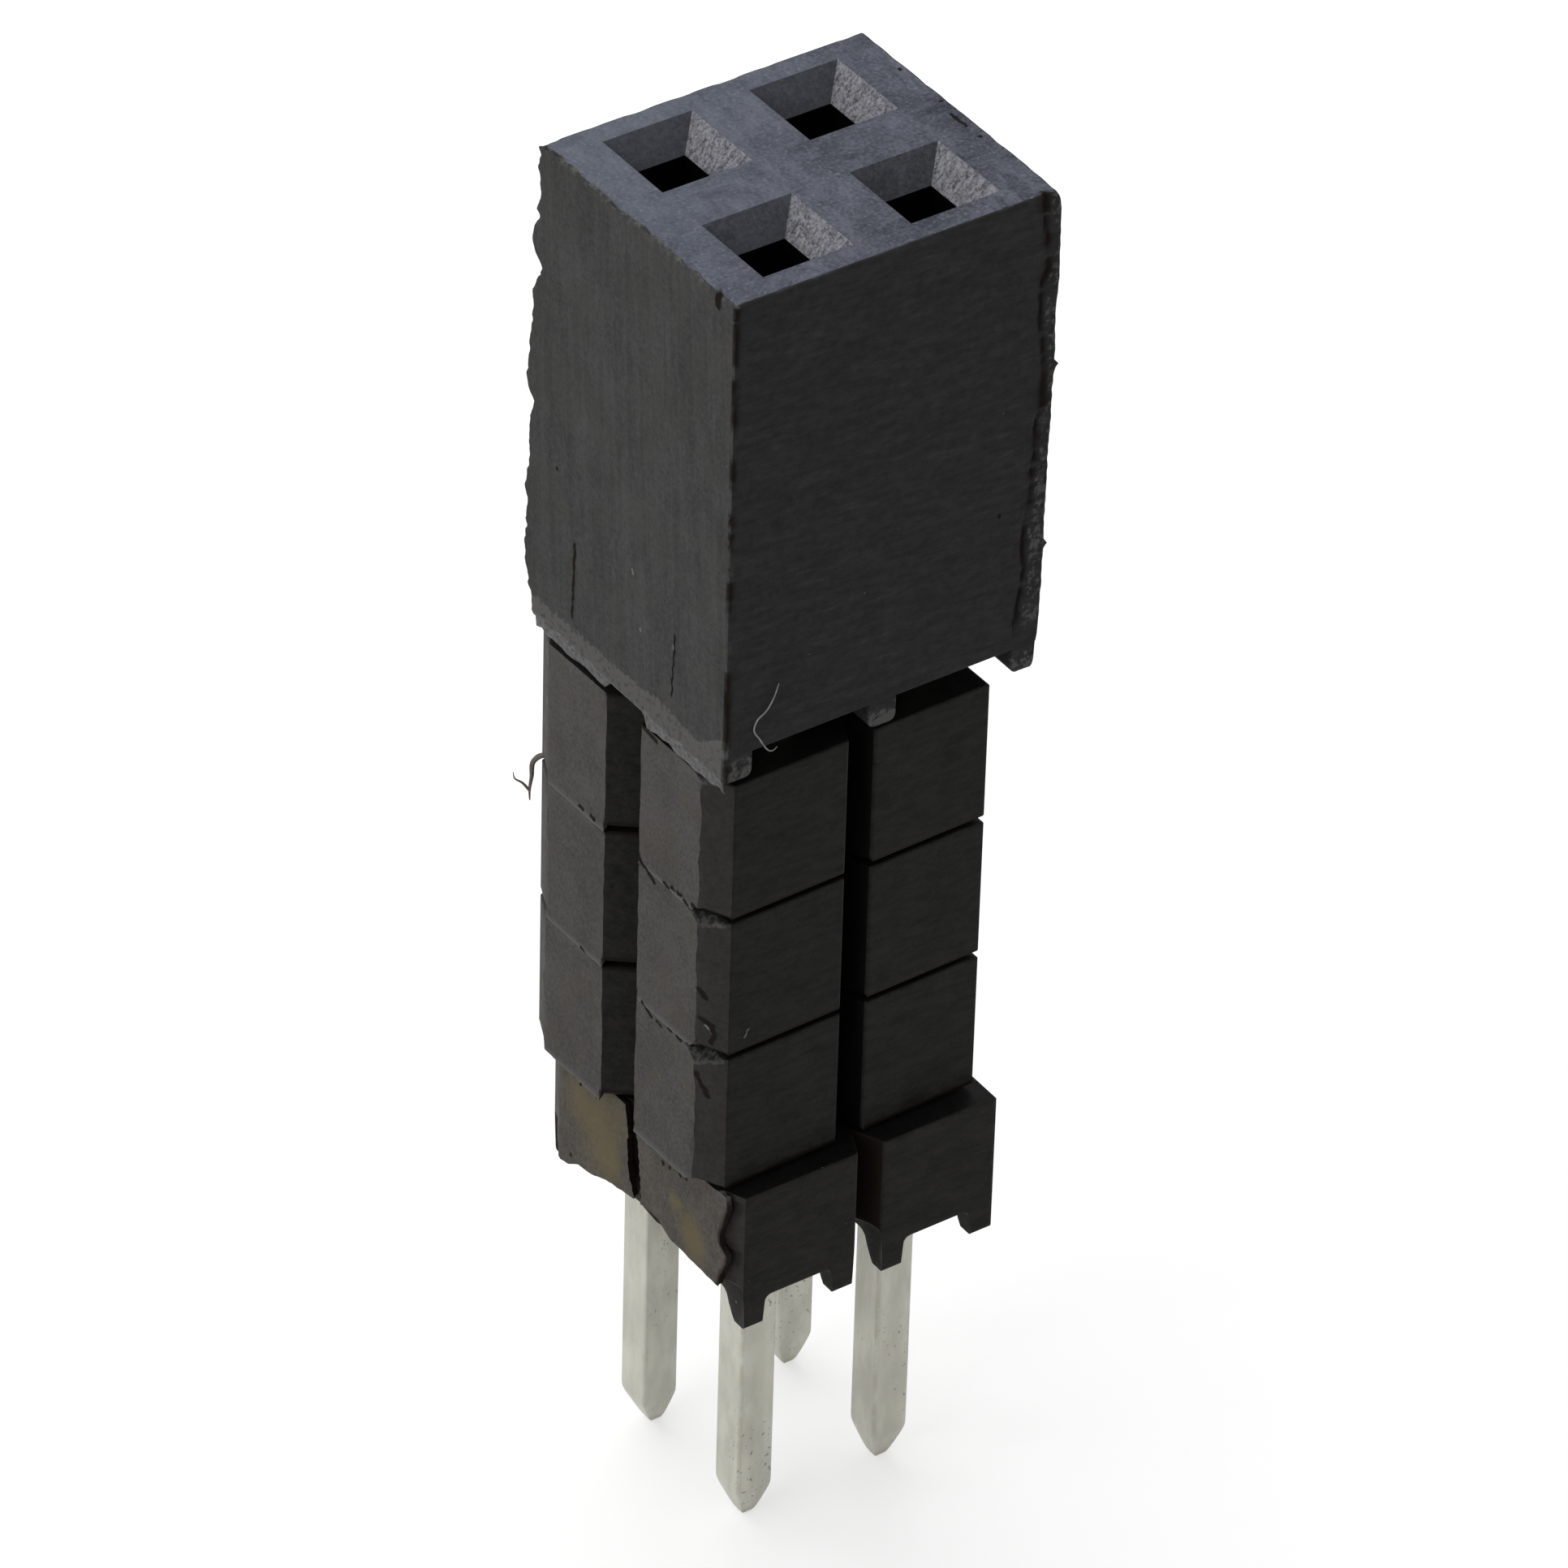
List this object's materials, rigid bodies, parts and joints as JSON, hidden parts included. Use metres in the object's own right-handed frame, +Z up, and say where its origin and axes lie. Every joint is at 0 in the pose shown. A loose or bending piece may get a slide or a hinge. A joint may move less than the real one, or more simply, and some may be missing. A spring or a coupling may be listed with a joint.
{
  "type": "board to board connector",
  "caption": "Elevated double-row socket for stacking two circuit boards: a black housing on long square tinned posts, held up by stacked spacers and a footed base spacer.",
  "frame": {"origin": "the middle of the grid of four posts, on the plane of the lower board's top face, which is the underside of the base spacer's feet", "axes": "+Z up along the posts to the socket openings, +X along the strip from the sawn end to the trimmed end, -Y towards the moulded front"},
  "size_m": [0.0056, 0.0054, 0.0237],
  "materials": {
    "housing_plastic": "glass-filled moulded plastic, matt, with a grainy blue-black top and a grey sawn end",
    "spacer_plastic": "smooth black moulded plastic with grey-brown sawn ends",
    "tinned_contact": "matt tin plating over a copper alloy, with small dark specks"
  },
  "bodies": {
    "root": {"socket_housing": "housing_plastic", "spacer_upper": "spacer_plastic", "spacer_middle": "spacer_plastic", "spacer_lower": "spacer_plastic", "base_spacer": "spacer_plastic", "contact_front_left": "tinned_contact", "contact_front_right": "tinned_contact", "contact_rear_left": "tinned_contact", "contact_rear_right": "tinned_contact"}
  },
  "joints": []
}
